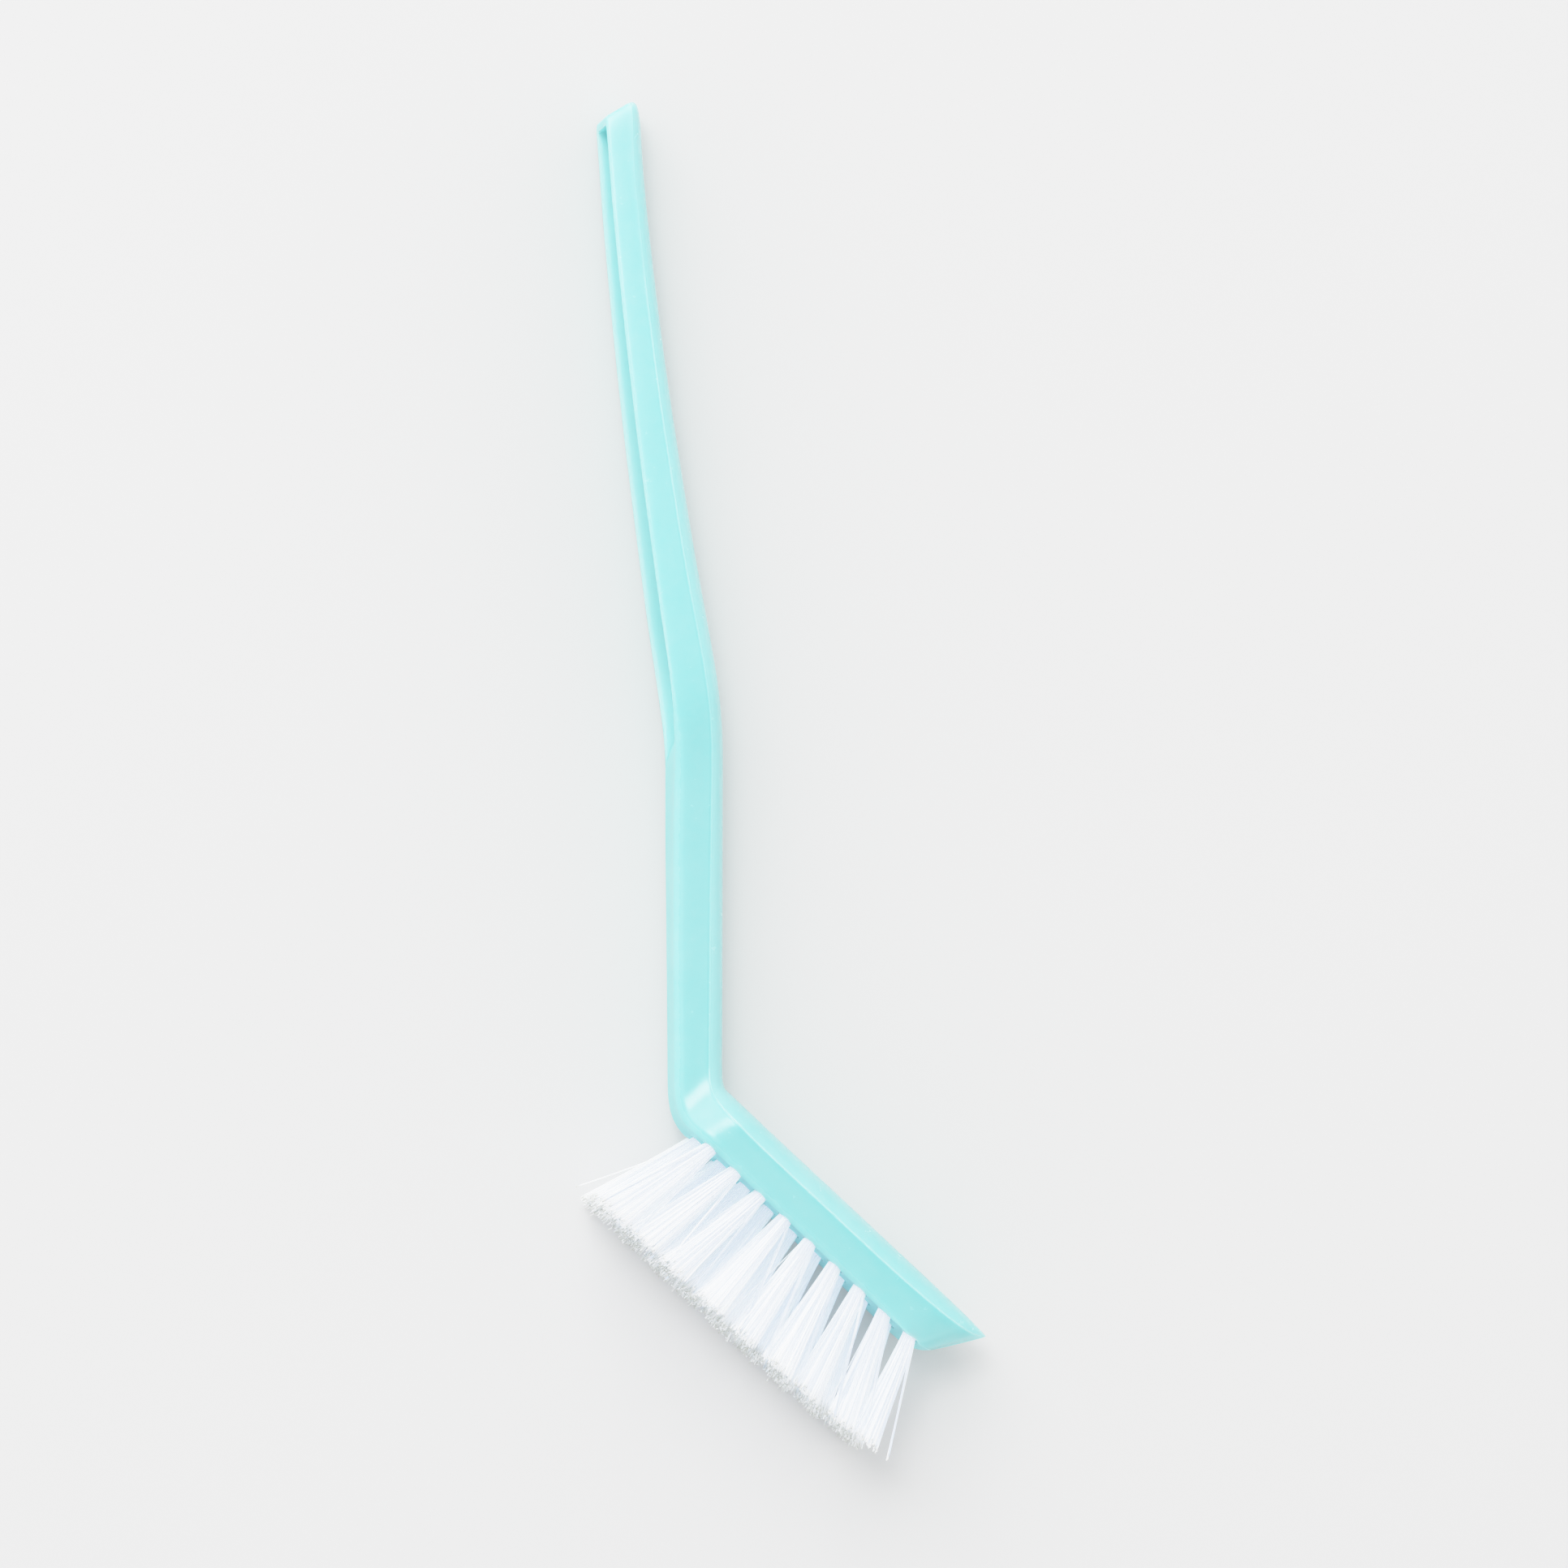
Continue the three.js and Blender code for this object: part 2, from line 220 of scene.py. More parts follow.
def half_outer(row, depth, wb, wc, crown):
    """(height, half width) from the end of the underside to just before the ridge."""
    r = under_radius(row, wb)
    h = depth - crown
    lip = float(smoothstep(row, 3.0, 11.0)) * (0.4 + 0.6 * float(smoothstep(row, 20.5, 24.0))) * min(1.0, wc / 6.0)  # the parting line shows less towards the handle's end
    pts = []
    for a in np.linspace(0, math.pi / 2, 9):
        pts.append((r - r * math.cos(a), wb - r + r * math.sin(a)))
    for s in (0.12, 0.26, 0.42, 0.58, 0.74, 0.88):
        t = r + (h - 0.62 - r) * s
        w = wb + (wc - wb) * (t - r) / (h - r)
        pts.append((t, w + 0.015 * math.sin(math.pi * s)))
    slope = (wc - wb) / (h - r)
    for back, rise in ((0.60, -0.005), (0.42, -0.035), (0.27, -0.070), (0.15, -0.075), (0.06, 0.020), (-0.03, 0.085), (-0.13, 0.085)):
        pts.append((h - back, wc - slope * max(back, 0.0) + rise * lip))
    span = math.pi / 2 - CROWN_START
    for turn in (0.065, 0.10, 0.16, 0.23, 0.32, 0.42, 0.52, 0.62, 0.72, 0.82, 0.91):
        phi = CROWN_START + turn * span
        t = h + crown * (math.sin(phi) - math.sin(CROWN_START)) / (1 - math.sin(CROWN_START))
        w = wc * math.cos(phi) / math.cos(CROWN_START)
        pts.append((t, w))
    return pts


def half_pocket(row, depth, wb):
    """(height, half width) of the channel from its rim to the middle of its floor."""
    full = max(depth - CHANNEL_ROOF, 1.0)
    f = min(1.0, wb / 6.0)  # the same loop, drawn in where the head narrows to its tip
    ri, rf, draft = 0.90 * f, 1.3 * f, 0.045 * f
    wi = wb - max(min(CHANNEL_WALL, 0.3 * wb), under_radius(row, wb) + ri + 0.04 * f)
    share = float(smoothstep(row, CHANNEL_FIRST, CHANNEL_FIRST + 0.55)) * (1 - float(smoothstep(row, CHANNEL_RISE, CHANNEL_LAST)))
    groove = 0.30 * float(smoothstep(row, CHANNEL_RISE, CHANNEL_LAST)) * (1 - float(smoothstep(row, 14.6, 17.0)))
    pts = [(0.0, wi + ri)]
    for a in (0.25, 0.5, 0.75, 1.0):
        b = a * math.pi / 2
        pts.append((ri - ri * math.cos(b), wi + ri - ri * math.sin(b)))
    for s in (0.2, 0.45, 0.7, 1.0):
        t = ri + (full - rf - ri) * s
        pts.append((t, wi - draft * (t - ri)))
    wl = wi - draft * (full - rf - ri)
    for a in (0.25, 0.5, 0.75, 1.0):
        b = a * math.pi / 2
        pts.append((full - rf + rf * math.sin(b), wl - rf + rf * math.cos(b)))
    for s in (0.75, 0.45, 0.2):
        pts.append((full, (wl - rf) * s))
    pts.append((full, 0.0))
    out = []
    for t, w in pts:
        g = groove * max(0.0, 1 - (w / wi) ** 2) if w < wi else 0.0
        out.append((t * share + g, w))
    return out


# The neck's flare starts at one line across the side face and ends at another, with an even slope between them.
FLARE_FROM = (np.array([-21.13, -66.81]), np.array([-17.54, -63.27]))
FLARE_TO = (np.array([-15.78, -73.29]), np.array([-12.53, -71.10]))
FLARE_ROUND = 0.30  # half the length of the roundings at both lines, as a share of the flare
FLARE_FIRST, FLARE_LAST = 18.0, 28.0


def past(p, line):
    a, b = line
    d = (b - a) / np.linalg.norm(b - a)
    return float(d[1] * (p[0] - a[0]) - d[0] * (p[1] - a[1]))


def flare(p):
    """0 on the handle's side of the flare, 1 on the head's side."""
    d1, d2 = past(p, FLARE_FROM), -past(p, FLARE_TO)
    s = d1 / max(d1 + d2, 1e-3)
    soft = FLARE_ROUND

    def ramp(x):  # a rounded step in slope at 0
        if x <= -soft:
            return 0.0
        return x if x >= soft else (x + soft) ** 2 / (4 * soft)

    return ramp(s) - ramp(s - 1.0)


def ring(row, inset=(0.0, 0.0, 0.0), push=0.0, shrink=1.0):
    """One loop of the skin; inset draws in the sides, the underside and the ridge."""
    base, up, depth, wb, wc, crown = section(row)
    outer = half_outer(row, depth, wb, wc, crown)
    pocket = half_pocket(row, depth, wb)
    ahead = np.array([-up[1], up[0]])  # along the brush, towards the handle end
    half = [*reversed(pocket[:-1]), *outer]  # from the channel's floor, over the rim and side, to the ridge
    if FLARE_FIRST < row < FLARE_LAST:
        kept = float(smoothstep(row, FLARE_FIRST, FLARE_FIRST + 1)) * (1 - float(smoothstep(row, FLARE_LAST - 1, FLARE_LAST)))
        slim, wide = section(19.6), section(FLARE_LAST)
        a = [*reversed(half_pocket(row, depth, slim[3])[:-1]), *half_outer(row, depth, slim[3], slim[4], crown)]
        b = [*reversed(half_pocket(row, depth, wide[3])[:-1]), *half_outer(row, depth, wide[3], wide[4], crown)]
        placed = []
        for (t, w), (ta, wa), (tb, wb_) in zip(half, a, b):
            q = flare(base + up * t)
            placed.append((t + kept * (ta + (tb - ta) * q - t), w + kept * (wa + (wb_ - wa) * q - w)))
        half = placed
    path = [pocket[-1], *half, (depth, 0.0)] + [(t, -w) for t, w in reversed(half)]
    pts = []
    for t, w in path:
        side, low, high = inset
        t2 = low + t * (1 - (low + high) / depth)
        c = (depth + low - high) / 2
        t2 = c + (t2 - c) * shrink
        w2 = w * (1 - side / max(wb, 0.5)) * shrink
        p = base + up * t2 + ahead * push
        pts.append((p[0], p[1], w2))
    return pts


rows = sorted(
    set(np.round(np.concatenate([
        np.linspace(0, 0.3, 13),
        np.linspace(0.3, 1.2, 19),
        np.linspace(1.2, 2.0, 33),
        np.linspace(2.0, 4.0, 17),
        np.linspace(4.0, 10.0, 49),
        np.linspace(10.0, 17.0, 85),
        np.linspace(17.0, 20.0, 19),
        np.linspace(20.0, 27.0, 71),
        np.linspace(27.0, 31.0, 21),
        np.linspace(31.0, 37.0, 61),
    ]), 5).tolist())
)
END_ROUND = (1.15, 0.50, 1.30)  # at the sides, the underside and the ridge


def end_inset(gone):
    return tuple(r - math.sqrt(max(r**2 - max(r - gone, 0.0) ** 2, 0.0)) for r in END_ROUND)


rings = []
CAP = ((0.22, 0.05), (0.50, 0.045), (0.76, 0.03), (0.93, 0.012), (0.985, 0.004))
for shrink, push in CAP:
    rings.append(ring(0.0, inset=end_inset(0.02), push=push, shrink=shrink))
b0, up0, d0, *_ = section(0.0)
for row in rows:
    b, up, d, *_ = section(row)
    gone = float(np.linalg.norm((b + up * d / 2) - (b0 + up0 * d0 / 2)))
    rings.append(ring(row, inset=end_inset(gone + 0.02)))
for shrink, push in ((0.9, -0.06), (0.6, -0.11), (0.25, -0.13)):
    rings.append(ring(float(LAST), push=push, shrink=shrink))

m = len(rings[0])
verts = [p for r in rings for p in r]
faces = []
for i in range(len(rings) - 1):
    for j in range(m):
        a, b = i * m + j, i * m + (j + 1) % m
        faces.append((a, b, b + m, a + m))
for k, r in ((0, rings[0]), (len(rings) - 1, rings[-1])):
    c = len(verts)
    verts.append(tuple(np.mean(np.array(r), 0)))
    for j in range(m):
        a, b = k * m + j, k * m + (j + 1) % m
        faces.append((c, b, a) if k == 0 else (c, a, b))
body = mesh_object("handle_and_head", turned(verts), faces)
face_out(body)


# ---- tuft places ------------------------------------------------------------------------------------------------
U3 = np.array([ALONG[0], ALONG[1], 0.0])
N3 = np.array([OUTWARD[0], OUTWARD[1], 0.0])
W3 = np.array([0.0, 0.0, 1.0])


def tuft_frame(across, tilt, start, pitch, k):
    u = start + k * pitch
    lean = math.radians(FAN_FIRST + (FAN_LAST - FAN_FIRST) * u / ((TUFTS - 1) * TUFT_PITCH))
    axis = N3 + math.tan(lean) * U3 + math.tan(math.radians(tilt)) * W3
    axis /= np.linalg.norm(axis)
    side = U3 - np.dot(U3, axis) * axis
    side /= np.linalg.norm(side)
    other = np.cross(axis, side)
    root = np.array([*on_head(u, 0.0), across])
    trim = TRIM_HEIGHT - TRIM_DROP * max(0.0, (u - 24) / 33) ** 2
    return root, axis, side, other, lean, trim


# ---- tuft holes, cut with a small chamfer at the mouth ------------------------------------------------------------
SIDES = 28
hv, hf = [], []
for name, across, tilt, start, pitch in ROWS:
    for k in range(TUFTS):
        root, axis, side, other, lean, trim = tuft_frame(across, tilt, start, pitch, k)
        first = len(hv)
        levels = [(-HOLE_DEPTH, HOLE_RADIUS), (-0.18, HOLE_RADIUS), (1.4, HOLE_RADIUS + 1.58 * 0.5)]
        for z, r in levels:
            for j in range(SIDES):
                a = 2 * math.pi * j / SIDES
                hv.append(root + axis * z + side * r * math.cos(a) + other * r * math.sin(a))
        for i in range(len(levels) - 1):
            for j in range(SIDES):
                a, b = first + i * SIDES + j, first + i * SIDES + (j + 1) % SIDES
                hf.append((a, b, b + SIDES, a + SIDES))
        hf.append(tuple(first + j for j in reversed(range(SIDES))))
        hf.append(tuple(first + (len(levels) - 1) * SIDES + j for j in range(SIDES)))
cutter = mesh_object("tuft_hole_cutter", turned(hv), hf, smooth=False)
face_out(cutter)
cut = body.modifiers.new("holes", "BOOLEAN")
cut.operation, cut.solver, cut.object = "DIFFERENCE", "EXACT", cutter
bpy.context.view_layer.update()
cut_mesh = bpy.data.meshes.new_from_object(body.evaluated_get(bpy.context.evaluated_depsgraph_get()))
body.modifiers.clear()
old = body.data
body.data = cut_mesh
body.data.name = "handle_and_head"
bpy.data.meshes.remove(old)
bpy.data.objects.remove(cutter)
body.data.polygons.foreach_set("use_smooth", [True] * len(body.data.polygons))
body.data.set_sharp_from_angle(angle=math.radians(32))

# Painted light and shade along the parting crease: a pale line painted on the edge as a highlight, and the face under
# it painted darker as shade.
PAINTED_CREASE_HIGHLIGHT = {33: 0.35, 34: 0.9, 35: 1.0, 36: 0.9, 37: 0.35}  # by place in the half loop, from the channel's floor to the ridge
PAINTED_CREASE_SHADE = {29: 0.2, 30: 0.6, 31: 1.0, 32: 1.0, 33: 0.9, 34: 0.4}
PAINTED_CHANNEL_LIGHT = {3: 0.2, 4: 0.3, 5: 0.4, 6: 0.5, **{j: 0.55 for j in range(7, 16)}}  # the channel's walls, a little paler: painted light in the recess
# painted sheen: the handle's crown a little paler, standing in for its reflection
PAINTED_CROWN_SHEEN = {j: 0.22 for j in range(38, 50)}
MATT = {**{j: 1.0 for j in range(-1, 16)}, 16: 1.0, 17: 0.9, 18: 0.75, 19: 0.5, 20: 0.3, 21: 0.15}  # underside and its rounding
tree = KDTree(len(rings) * m)
for i, r in enumerate(turned(np.array(rings).reshape(-1, 3))):
    tree.insert(Vector(r * MM), i)
tree.balance()
row_of = [0.0] * len(CAP) + list(rows) + [float(LAST)] * 3
painted_light, painted_shade, matt = [], [], []
for v in body.data.vertices:
    _, i, gap = tree.find(v.co)
    i, j = divmod(i, m)
    j = min(j, m - j) - 1
    row, near = row_of[i], 1.0 if gap < 0.4 * MM else 0.0
    fade = float(smoothstep(row, 3.0, 11.0)) * (1 - float(smoothstep(row, 35.8, 36.8)))
    broad = float(smoothstep(row, 22.0, 26.0))
    inside = float(smoothstep(row, 0.7, 1.15)) * (1 - float(smoothstep(row, 11.8, 14.0)))
    pale = fade * PAINTED_CREASE_HIGHLIGHT.get(j, 0.0) * (0.06 + 0.56 * broad)
    painted_light.append(near * max(pale, inside * PAINTED_CHANNEL_LIGHT.get(j, 0.0), (1 - broad) * PAINTED_CROWN_SHEEN.get(j, 0.0)))
    painted_shade.append(near * fade * PAINTED_CREASE_SHADE.get(j, 0.0) * (0.5 * broad if j < 32 else 0.35 + 0.20 * broad))
    matt.append(near * MATT.get(j, 0.0) if len(CAP) <= i < len(rings) - 3 else 0.0)
for label, values in (("painted_light", painted_light), ("painted_shade", painted_shade), ("matt", matt)):
    body.data.attributes.new(label, "FLOAT", "POINT").data.foreach_set("value", values)


# ---- filaments --------------------------------------------------------------------------------------------------
FIL_SIDES = 6
FIL_RADIUS = 0.135
FIL_COUNT = 168


# each tuft of the top row: half width at the tips, how far it leans along the head, where its loose strand ends
TOP_ROW = [(4.7, -1.2, 6.6), (4.2, -2.2, 6.4), (3.5, -3.1, 6.8), (4.0, -1.0, 8.6), (3.0, -0.3, 6.2), (4.2, 0.2, 5.2), (3.3, -1.2, 8.0), (3.6, -0.1, 5.6), (3.4, -3.0, 6.6)]


def filaments(name, frame_of, rng, shape, loose, first):
    BUNDLE, TIP, shift, strand, longer, slow = shape
    root, axis, side, other, lean, trim = frame_of
    an, sn, on = np.dot(axis, N3), np.dot(side, N3), np.dot(other, N3)
    verts, faces, tips, row_shade = [], [], [], []
    swing = rng.normal(0, 0.15, 2) + (shift, 0.0)  # the whole bundle leans a little its own way
    strands = np.array([rng.normal(0.40, 0.12), rng.uniform(1.6, 5.3)])  # where a few outer filaments stand off together
    reach = np.array([strand, TIP * rng.uniform(1.05, 1.05 + 0.2 * loose)])
    phase = rng.uniform(0, 2 * math.pi, 2)
    top, lit = root[2] > 3, 0.35 if first else 1.0  # the first tuft of each row stands free in the light, so it gets less of the painted shade
    shade, shaded_tip_length, bunch = (0.30, 1.0, 0.06) if top else (0.75, 1.7, 0.15)  # the rows under the top one hang in its shade: more of their filament ends get painted shade, over a longer stretch
    for i in range(FIL_COUNT):
        rr = math.sqrt((i + 0.5) / FIL_COUNT)
        th = i * 2.399963 + rng.normal(0, 0.12)
        x, y = BUNDLE * rr * math.cos(th), BUNDLE * rr * math.sin(th)
        x += rng.normal(0, 0.03)
        y += rng.normal(0, 0.03)
        stray = rng.random()
        spread, early = 0.11, 1.0
        if stray < 0.03:
            spread = 1.1 * loose
        elif stray < 0.04:
            spread = 2.0 * loose
        open_ = TIP * math.cos(lean) / BUNDLE
        tx = x * TIP / BUNDLE + rng.normal(0, spread) + swing[0]
        ty = y * open_ + rng.normal(0, spread) + swing[1]
        if stray >= 0.04:
            tx += bunch * math.sin(2 * math.pi * tx / 1.4 + phase[0])  # small bunches
            ty += bunch * math.sin(2 * math.pi * ty / 1.4 + phase[1])
            off = np.abs((th - strands + math.pi) % (2 * math.pi) - math.pi)
            q = int(np.argmin(off))
            if rr > 0.72 and off[q] < (0.36 if q == 0 and loose == 1.0 else 0.2):
                early = 0.92
                tx = swing[0] + reach[q] * math.cos(strands[q]) + rng.normal(0, 0.11 / loose)
                ty = swing[1] + reach[q] * math.cos(lean) * math.sin(strands[q]) + rng.normal(0, 0.11 / loose)
        bow = rng.normal(0, 0.06 if stray >= 0.04 else 0.5, 2)
        cutoff = trim + longer + rng.normal(0, 0.36) + (rng.normal(0, 0.5) if stray < 0.04 else 0.0)
        # painted shade on the last stretch of some filaments, standing in for the shade between their ends
        tip_shade = rng.uniform(0.6, 1.0) if rng.random() < shade else 0.0
        end = (cutoff - tx * sn - ty * on) / an
        power = slow * early * rng.uniform(0.97, 1.05)
        zs = np.array([-5.0, -0.6, 0.5, 2.2, 5.0, 8.5, 12.5, 17.0, end - shaded_tip_length, end])
        zs[5:8] = np.linspace(5.0, end - shaded_tip_length, 5)[1:4]
        g = np.clip(zs / end, 0, None) ** power
        px = x + (tx - x) * g + bow[0] * np.sin(math.pi * np.clip(zs / end, 0, 1)) * np.clip(zs / end, 0, 1)
        py = y + (ty - y) * g + bow[1] * np.sin(math.pi * np.clip(zs / end, 0, 1)) * np.clip(zs / end, 0, 1)
        squeeze = np.where(zs < 0, 0.93, 1.0)
        line = root + np.outer(zs, axis) + np.outer(px * squeeze, side) + np.outer(py * squeeze, other)
        line = turned(line)
        soft = 5.0
        low = FIL_RADIUS + 0.03
        line[:, 2] = low + np.logaddexp(0.0, soft * (line[:, 2] - low)) / soft
        rad = FIL_RADIUS * rng.uniform(0.93, 1.06)
        tang = np.gradient(line, axis=0)
        tang /= np.linalg.norm(tang, axis=1)[:, None]
        ref = np.cross(tang, np.array([0.31, 0.17, 0.93]))
        ref /= np.linalg.norm(ref, axis=1)[:, None]
        bin_ = np.cross(tang, ref)
        first = len(verts)
        turn = rng.uniform(0, 2 * math.pi)
        for q in range(len(zs)):
            for j in range(FIL_SIDES):
                a = turn + 2 * math.pi * j / FIL_SIDES
                verts.append(line[q] + rad * (math.cos(a) * ref[q] + math.sin(a) * bin_[q]))
                tips.append(tip_shade if q == len(zs) - 1 else 0.0)
                # painted shade on the rows under the top one, strongest at the roots
                row_shade.append(0.0 if top else lit * (1.0 - 0.75 * min(max(zs[q] / end, 0.0), 1.0)))
        for q in range(len(zs) - 1):
            for j in range(FIL_SIDES):
                a, b = first + q * FIL_SIDES + j, first + q * FIL_SIDES + (j + 1) % FIL_SIDES
                faces.append((a, b, b + FIL_SIDES, a + FIL_SIDES))
        faces.append(tuple(first + j for j in reversed(range(FIL_SIDES))))
        faces.append(tuple(first + (len(zs) - 1) * FIL_SIDES + j for j in range(FIL_SIDES)))
    o = mesh_object(name, verts, faces)
    o.data.attributes.new("tip", "FLOAT", "POINT").data.foreach_set("value", tips)
    o.data.attributes.new("painted_row_shade", "FLOAT", "POINT").data.foreach_set("value", row_shade)
    o.data.set_sharp_from_angle(angle=math.radians(70))
    return o


# ---- materials --------------------------------------------------------------------------------------------------
def new_material(name):
    mat = bpy.data.materials.new(name)
    mat.use_nodes = True
    nt = mat.node_tree
    nt.nodes.clear()
    out = nt.nodes.new("ShaderNodeOutputMaterial")
    p = nt.nodes.new("ShaderNodeBsdfPrincipled")
    nt.links.new(p.outputs["BSDF"], out.inputs["Surface"])
    return mat, nt, p


def noise(nt, coords, scale, detail=3.0, rough=0.5):
    n = nt.nodes.new("ShaderNodeTexNoise")
    n.inputs["Scale"].default_value = scale
    n.inputs["Detail"].default_value = detail
    n.inputs["Roughness"].default_value = rough
    nt.links.new(coords, n.inputs["Vector"])
    return n.outputs["Fac"]


def mapped(nt, value, a, b, c, d):
    r = nt.nodes.new("ShaderNodeMapRange")
    r.inputs["From Min"].default_value, r.inputs["From Max"].default_value = a, b
    r.inputs["To Min"].default_value, r.inputs["To Max"].default_value = c, d
    nt.links.new(value, r.inputs["Value"])
    return r.outputs["Result"]


def mixed(nt, fac, a, b):
    x = nt.nodes.new("ShaderNodeMix")
    x.data_type = "RGBA"
    nt.links.new(fac, x.inputs["Factor"])
    for socket, v in ((x.inputs["A"], a), (x.inputs["B"], b)):
        if isinstance(v, tuple):
            socket.default_value = (*v, 1.0)
        else:
            nt.links.new(v, socket)
    return x.outputs["Result"]


def carried(nt, label):
    a = nt.nodes.new("ShaderNodeAttribute")
    a.attribute_type, a.attribute_name = "GEOMETRY", label
    return a.outputs["Fac"]


def coords(nt):
    return nt.nodes.new("ShaderNodeTexCoord").outputs["Object"]


def plastic():
    mat, nt, p = new_material("aqua_plastic")
    at = coords(nt)
    cloud = noise(nt, at, 45, 2.0)
    fine_ = noise(nt, at, 420, 3.0, 0.6)
    tone = mixed(nt, mapped(nt, cloud, 0.3, 0.7, 0.0, 1.0), (0.275, 0.620, 0.630), (0.305, 0.635, 0.646))
    tone = mixed(nt, mapped(nt, fine_, 0.45, 0.75, 0.0, 0.22), tone, (0.345, 0.660, 0.668))
    # painted shade: darker just under the parting crease
    tone = mixed(nt, mapped(nt, carried(nt, "painted_shade"), 0.0, 1.0, 0.0, 0.8), tone, (0.215, 0.560, 0.575))
    # painted highlight on the crease, painted light on the channel walls and a painted sheen on the handle's crown
    tone = mixed(nt, mapped(nt, carried(nt, "painted_light"), 0.0, 1.0, 0.0, 0.8), tone, (0.440, 0.720, 0.725))
    nt.links.new(tone, p.inputs["Base Color"])
    rough = nt.nodes.new("ShaderNodeMath")
    rough.operation = "ADD"
    nt.links.new(mapped(nt, fine_, 0.2, 0.8, 0.20, 0.29), rough.inputs[0])
    nt.links.new(mapped(nt, carried(nt, "matt"), 0.0, 1.0, 0.0, 0.32), rough.inputs[1])
    nt.links.new(rough.outputs["Value"], p.inputs["Roughness"])
    bump = nt.nodes.new("ShaderNodeBump")
    bump.inputs["Strength"].default_value = 0.05
    bump.inputs["Distance"].default_value = 0.00012
    nt.links.new(noise(nt, at, 300, 2.0), bump.inputs["Height"])
    wave = nt.nodes.new("ShaderNodeBump")
    wave.inputs["Strength"].default_value = 0.05
    wave.inputs["Distance"].default_value = 0.0006
    nt.links.new(noise(nt, at, 70, 1.0), wave.inputs["Height"])
    nt.links.new(bump.outputs["Normal"], wave.inputs["Normal"])
    nt.links.new(wave.outputs["Normal"], p.inputs["Normal"])
    p.inputs["IOR"].default_value = 1.49
    p.inputs["Specular IOR Level"].default_value = 0.58
    p.inputs["Subsurface Weight"].default_value = 0.9
    p.inputs["Subsurface Radius"].default_value = (0.9, 1.0, 1.0)
    p.inputs["Subsurface Scale"].default_value = 0.0045
    return mat


def nylon():
    mat, nt, p = new_material("white_nylon")
    at = coords(nt)
    along = noise(nt, at, 160, 2.0)
    speck = noise(nt, at, 1500, 2.0)
    tone = mixed(nt, mapped(nt, along, 0.3, 0.7, 0.0, 1.0), (0.962, 0.974, 0.995), (0.976, 0.984, 0.998))
    tone = mixed(nt, mapped(nt, speck, 0.5, 0.8, 0.0, 0.25), tone, (0.935, 0.955, 0.985))
    # painted shade on the rows under the top one
    tone = mixed(nt, mapped(nt, carried(nt, "painted_row_shade"), 0.0, 1.0, 0.0, 0.5), tone, (0.915, 0.942, 0.976))
    tone = mixed(nt, mapped(nt, carried(nt, "tip"), 0.0, 1.0, 0.0, 0.85), tone, (0.38, 0.38, 0.32))  # painted shade at the filament ends
    nt.links.new(tone, p.inputs["Base Color"])
    nt.links.new(mapped(nt, speck, 0.2, 0.8, 0.30, 0.45), p.inputs["Roughness"])
    p.inputs["IOR"].default_value = 1.53
    p.inputs["Emission Color"].default_value = (0.86, 0.93, 1.0, 1.0)  # painted light: a faint glow in the nylon that stands in for light carried through the filaments
    p.inputs["Emission Strength"].default_value = 0.088
    nt.links.new(mapped(nt, carried(nt, "tip"), 0.0, 0.8, 1.0, 0.0), p.inputs["Subsurface Weight"])
    p.inputs["Subsurface Radius"].default_value = (1.0, 1.0, 1.0)
    p.inputs["Subsurface Scale"].default_value = 0.003
    return mat


def steel():
    mat, nt, p = new_material("anchor_metal")
    at = coords(nt)
    grain = noise(nt, at, 2200, 3.0)
    nt.links.new(mixed(nt, grain, (0.52, 0.51, 0.49), (0.66, 0.65, 0.62)), p.inputs["Base Color"])
    nt.links.new(mapped(nt, grain, 0.2, 0.8, 0.30, 0.48), p.inputs["Roughness"])
    p.inputs["Metallic"].default_value = 1.0
    return mat


PLASTIC, NYLON, STEEL = plastic(), nylon(), steel()


def dress(o, mat):
    o.data.materials.clear()
    o.data.materials.append(mat)


dress(body, PLASTIC)
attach(body, "root")
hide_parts("handle_head")

for ri, (name, across, tilt, start, pitch) in enumerate(ROWS):
    for k in range(TUFTS):
        rng = np.random.default_rng(1000 + 100 * ri + k)
        first, slow = (0.5 if k == 0 else 0.0), (1.25 if k < 3 else 1.5)
        shape = {
            "near": (1.53, *TOP_ROW[k], 0.35, 1.08),
            "mid": (1.46, 3.85 + first, -1.4 * first, 4.6, 0.4, slow),
            "far": (1.46, 4.0 + first, -0.6 * first, 4.8, 0.3, slow),
        }[name]
        o = filaments(f"filaments_{name}_{k + 1}", tuft_frame(across, tilt, start, pitch, k), rng, shape, 0.6 if k == TUFTS - 1 else 1.0, k == 0)
        dress(o, NYLON)
        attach(o, "root")
        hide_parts(f"tuft_{name}_{k + 1}")
        dress(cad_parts[f"anchor_{name}_{k + 1}"], STEEL)

# ---- floor, light and camera --------------------------------------------------------------------------------------
floor = mesh_object("floor", [(-6000, -6000, -0.05), (6000, -6000, -0.05), (6000, 6000, -0.05), (-6000, 6000, -0.05)], [(0, 1, 2, 3)], smooth=False)
fmat, fnt, fp = new_material("pale_floor")
fat = coords(fnt)
fnt.links.new(mixed(fnt, noise(fnt, fat, 6, 2.0), (0.553, 0.553, 0.553), (0.567, 0.567, 0.567)), fp.inputs["Base Color"])
fp.inputs["Emission Color"].default_value = (1.0, 1.0, 1.0, 1.0)
fp.inputs["Emission Strength"].default_value = 0.15  # a table lit a little from below, so that shadows stay light
fp.inputs["Roughness"].default_value = 0.85
fp.inputs["Specular IOR Level"].default_value = 0.15
dress(floor, fmat)

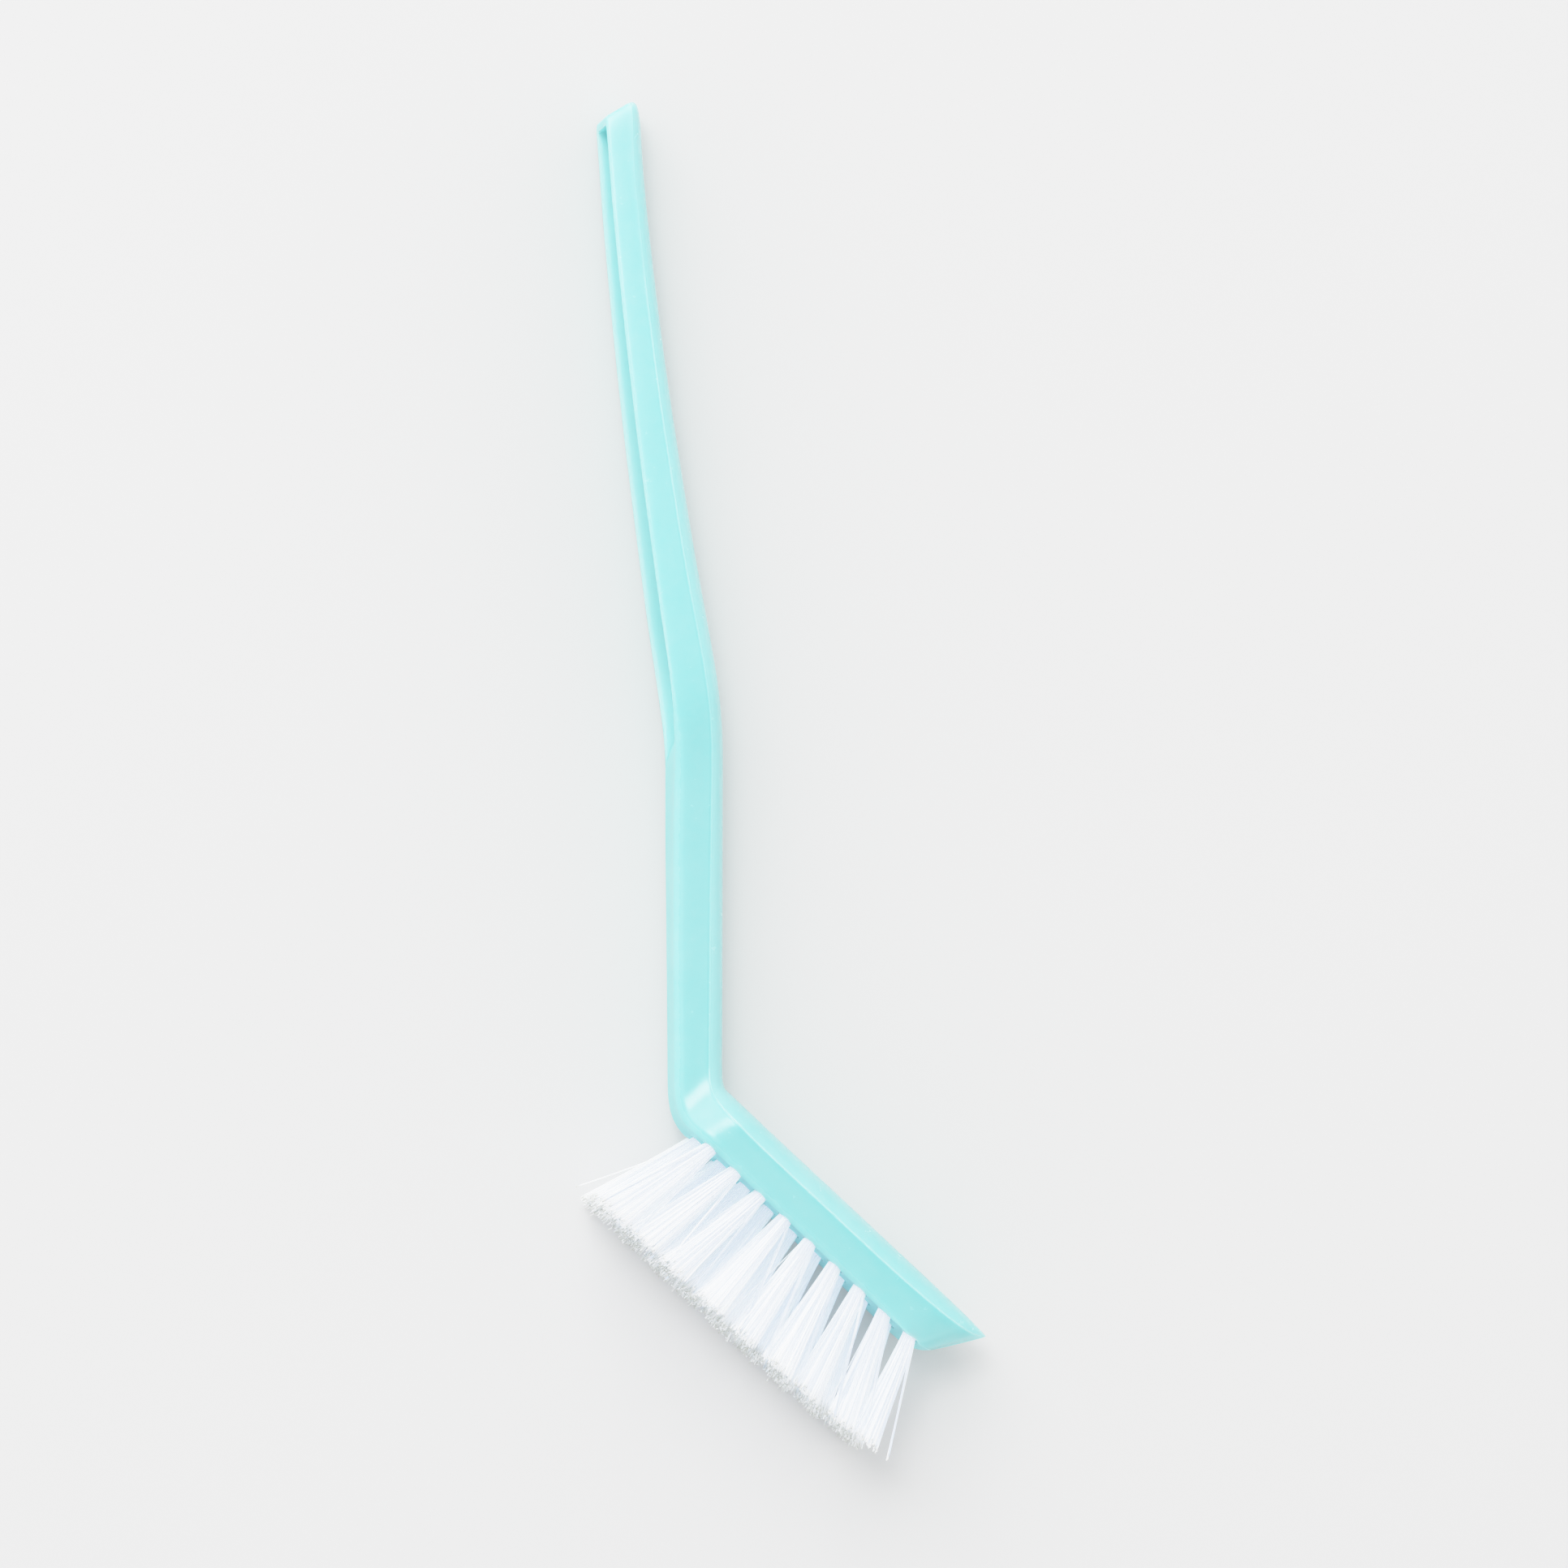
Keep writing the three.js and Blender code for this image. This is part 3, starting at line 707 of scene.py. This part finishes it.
HORIZON, ZENITH = 1.90, 0.76
world = bpy.data.worlds.new("studio")
bpy.context.scene.world = world
world.use_nodes = True
wnt = world.node_tree
bg = wnt.nodes["Background"]
bg.inputs["Color"].default_value = (1.0, 1.0, 1.0, 1.0)
split = wnt.nodes.new("ShaderNodeSeparateXYZ")
wnt.links.new(wnt.nodes.new("ShaderNodeTexCoord").outputs["Generated"], split.inputs["Vector"])
height = wnt.nodes.new("ShaderNodeMapRange")
height.interpolation_type = "SMOOTHSTEP"
height.inputs["From Min"].default_value, height.inputs["From Max"].default_value = 0.0, 0.75
height.inputs["To Min"].default_value, height.inputs["To Max"].default_value = HORIZON, ZENITH
wnt.links.new(split.outputs["Z"], height.inputs["Value"])
wnt.links.new(height.outputs["Result"], bg.inputs["Strength"])


def area(name, power, size, at, towards, colour=(1, 1, 1), size_y=None):
    data = bpy.data.lights.new(name, "AREA")
    data.energy = power
    data.color = colour
    data.shape = "RECTANGLE"
    data.size, data.size_y = size, size_y or size
    o = bpy.data.objects.new(name, data)
    bpy.context.scene.collection.objects.link(o)
    o.location = at
    o.rotation_euler = (Vector(towards) - Vector(at)).to_track_quat("-Z", "Y").to_euler()
    o.visible_camera = False
    return o


area("key_softbox", 18.5, 0.775, (-0.513, 0.820, 2.305), (-0.018, -0.070, 0.020))
area("window", 42.0, 2.29, (-0.785, 1.683, 1.673), (0.0, -0.05, 0.02))

cam_data = bpy.data.cameras.new("photo_camera")
cam_data.sensor_width = 36.0
cam_data.lens = 242.086
cam_data.clip_start, cam_data.clip_end = 0.05, 50.0
camera = bpy.data.objects.new("photo_camera", cam_data)
camera.location = (-0.24105, -0.08627, 2.19835)
camera.rotation_euler = (0.039179, -0.109717, -0.001312)
bpy.context.scene.collection.objects.link(camera)
bpy.context.scene.camera = camera

# White filaments light each other many times over.
bpy.context.scene.cycles.max_bounces = 24
bpy.context.scene.cycles.diffuse_bounces = 20

view = bpy.context.scene.view_settings
view.view_transform = "Standard"
view.look = "None"
view.exposure = 0.0
view.use_curve_mapping = True  # straight up to 0.6, then a soft shoulder towards white
WHITE = 2.0
view.curve_mapping.white_level = (WHITE, WHITE, WHITE)
shoulder = view.curve_mapping.curves[3]
shoulder.points[0].location = (0.0, 0.0)
shoulder.points[1].location = (1.0, 0.6 + 0.4 * (1 - math.exp(-(WHITE - 0.6) / 0.4)))
for x in (0.2, 0.4, 0.6, 0.7, 0.8, 0.9, 1.0, 1.15, 1.3, 1.5, 1.75):
    shoulder.points.new(x / WHITE, x if x <= 0.6 else 0.6 + 0.4 * (1 - math.exp(-(x - 0.6) / 0.4)))
view.curve_mapping.update()

bpy.context.view_layer.update()
